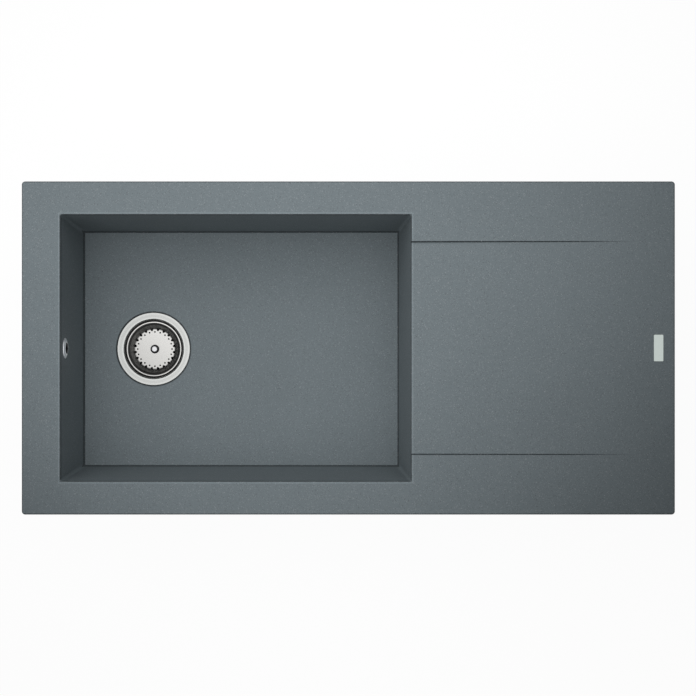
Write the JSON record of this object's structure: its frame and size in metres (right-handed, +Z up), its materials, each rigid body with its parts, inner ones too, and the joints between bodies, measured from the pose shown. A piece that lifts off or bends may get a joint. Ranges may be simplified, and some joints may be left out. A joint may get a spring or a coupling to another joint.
{
  "type": "kitchen sink with drainboard",
  "caption": "Inset kitchen sink in grey granite composite: large bowl with basket strainer waste and overflow, tapering drainer, and swinging worktop clips.",
  "frame": {"origin": "middle of the worktop cut-out, level with the worktop's top face and the underside of the rim", "axes": "+X along the sink towards the drainer end, +Y to the back, +Z up out of the worktop"},
  "size_m": [0.98, 0.5, 0.3023],
  "materials": {
    "granite_composite": "fine-grained matt granite composite",
    "badge_steel": "brushed, with a bright edge",
    "stainless": "satin stainless sheet",
    "chrome": "polished",
    "black_rubber": "matt",
    "foam_seal": "closed-cell foam",
    "black_plastic": "moulded",
    "white_plastic": "moulded, fine grain",
    "hose_plastic": "ribbed, blown",
    "brass": "turned",
    "zinc_steel": "zinc plated"
  },
  "bodies": {
    "root": {"sink_body": "granite_composite", "badge_plate": "badge_steel", "rim_seal": "foam_seal", "strainer_cup": "stainless", "flange_seal": "black_rubber", "waste_body": "white_plastic", "body_seal": "black_rubber", "body_insert": "brass", "centre_screw": "stainless", "overflow_rosette": "chrome", "overflow_seal": "black_rubber", "overflow_elbow": "white_plastic", "overflow_hose": "hose_plastic", "hose_nut_upper": "white_plastic", "hose_nut_lower": "white_plastic", "hose_seal_upper": "black_rubber", "hose_seal_lower": "black_rubber", "clip_anchors": "black_plastic"},
    "basket": {"strainer_basket": "stainless", "basket_bush": "black_plastic"},
    "stopper": {"stopper_knob": "chrome", "stopper_spindle": "stainless", "stopper_plate": "stainless", "stopper_seal": "black_rubber"},
    "screw_1": {"clip_screw_1": "zinc_steel"},
    "jaw_1": {"clip_jaw_1": "zinc_steel"},
    "screw_2": {"clip_screw_2": "zinc_steel"},
    "jaw_2": {"clip_jaw_2": "zinc_steel"},
    "screw_3": {"clip_screw_3": "zinc_steel"},
    "jaw_3": {"clip_jaw_3": "zinc_steel"},
    "screw_4": {"clip_screw_4": "zinc_steel"},
    "jaw_4": {"clip_jaw_4": "zinc_steel"},
    "screw_5": {"clip_screw_5": "zinc_steel"},
    "jaw_5": {"clip_jaw_5": "zinc_steel"},
    "screw_6": {"clip_screw_6": "zinc_steel"},
    "jaw_6": {"clip_jaw_6": "zinc_steel"},
    "screw_7": {"clip_screw_7": "zinc_steel"},
    "jaw_7": {"clip_jaw_7": "zinc_steel"},
    "screw_8": {"clip_screw_8": "zinc_steel"},
    "jaw_8": {"clip_jaw_8": "zinc_steel"}
  },
  "joints": [
    {"name": "basket_lift", "type": "slide", "parent": "root", "child": "basket", "axis": [0, 0, 1], "range_m": [0, 0.25]},
    {"name": "stopper_pull", "type": "slide", "parent": "basket", "child": "stopper", "axis": [0, 0, 1], "range_m": [0, 0.007]},
    {"name": "clip_1_climb", "type": "slide", "parent": "root", "child": "screw_1", "axis": [0, 0, 1], "range_m": [0, 0.01]},
    {"name": "clip_1_swing", "type": "hinge", "parent": "screw_1", "child": "jaw_1", "pos_m": [-0.33, 0.226, -0.058], "axis": [0, 0, 1], "range_deg": [0, 90]},
    {"name": "clip_2_climb", "type": "slide", "parent": "root", "child": "screw_2", "axis": [0, 0, 1], "range_m": [0, 0.01]},
    {"name": "clip_2_swing", "type": "hinge", "parent": "screw_2", "child": "jaw_2", "pos_m": [0, 0.226, -0.058], "axis": [0, 0, 1], "range_deg": [0, 90]},
    {"name": "clip_3_climb", "type": "slide", "parent": "root", "child": "screw_3", "axis": [0, 0, 1], "range_m": [0, 0.01]},
    {"name": "clip_3_swing", "type": "hinge", "parent": "screw_3", "child": "jaw_3", "pos_m": [0.33, 0.226, -0.058], "axis": [0, 0, 1], "range_deg": [0, 90]},
    {"name": "clip_4_climb", "type": "slide", "parent": "root", "child": "screw_4", "axis": [0, 0, 1], "range_m": [0, 0.01]},
    {"name": "clip_4_swing", "type": "hinge", "parent": "screw_4", "child": "jaw_4", "pos_m": [-0.33, -0.226, -0.058], "axis": [0, 0, 1], "range_deg": [0, 90]},
    {"name": "clip_5_climb", "type": "slide", "parent": "root", "child": "screw_5", "axis": [0, 0, 1], "range_m": [0, 0.01]},
    {"name": "clip_5_swing", "type": "hinge", "parent": "screw_5", "child": "jaw_5", "pos_m": [0, -0.226, -0.058], "axis": [0, 0, 1], "range_deg": [0, 90]},
    {"name": "clip_6_climb", "type": "slide", "parent": "root", "child": "screw_6", "axis": [0, 0, 1], "range_m": [0, 0.01]},
    {"name": "clip_6_swing", "type": "hinge", "parent": "screw_6", "child": "jaw_6", "pos_m": [0.33, -0.226, -0.058], "axis": [0, 0, 1], "range_deg": [0, 90]},
    {"name": "clip_7_climb", "type": "slide", "parent": "root", "child": "screw_7", "axis": [0, 0, 1], "range_m": [0, 0.01]},
    {"name": "clip_7_swing", "type": "hinge", "parent": "screw_7", "child": "jaw_7", "pos_m": [-0.466, -0.12, -0.058], "axis": [0, 0, 1], "range_deg": [0, 90]},
    {"name": "clip_8_climb", "type": "slide", "parent": "root", "child": "screw_8", "axis": [0, 0, 1], "range_m": [0, 0.01]},
    {"name": "clip_8_swing", "type": "hinge", "parent": "screw_8", "child": "jaw_8", "pos_m": [0.466, -0.12, -0.058], "axis": [0, 0, 1], "range_deg": [0, 90]}
  ]
}
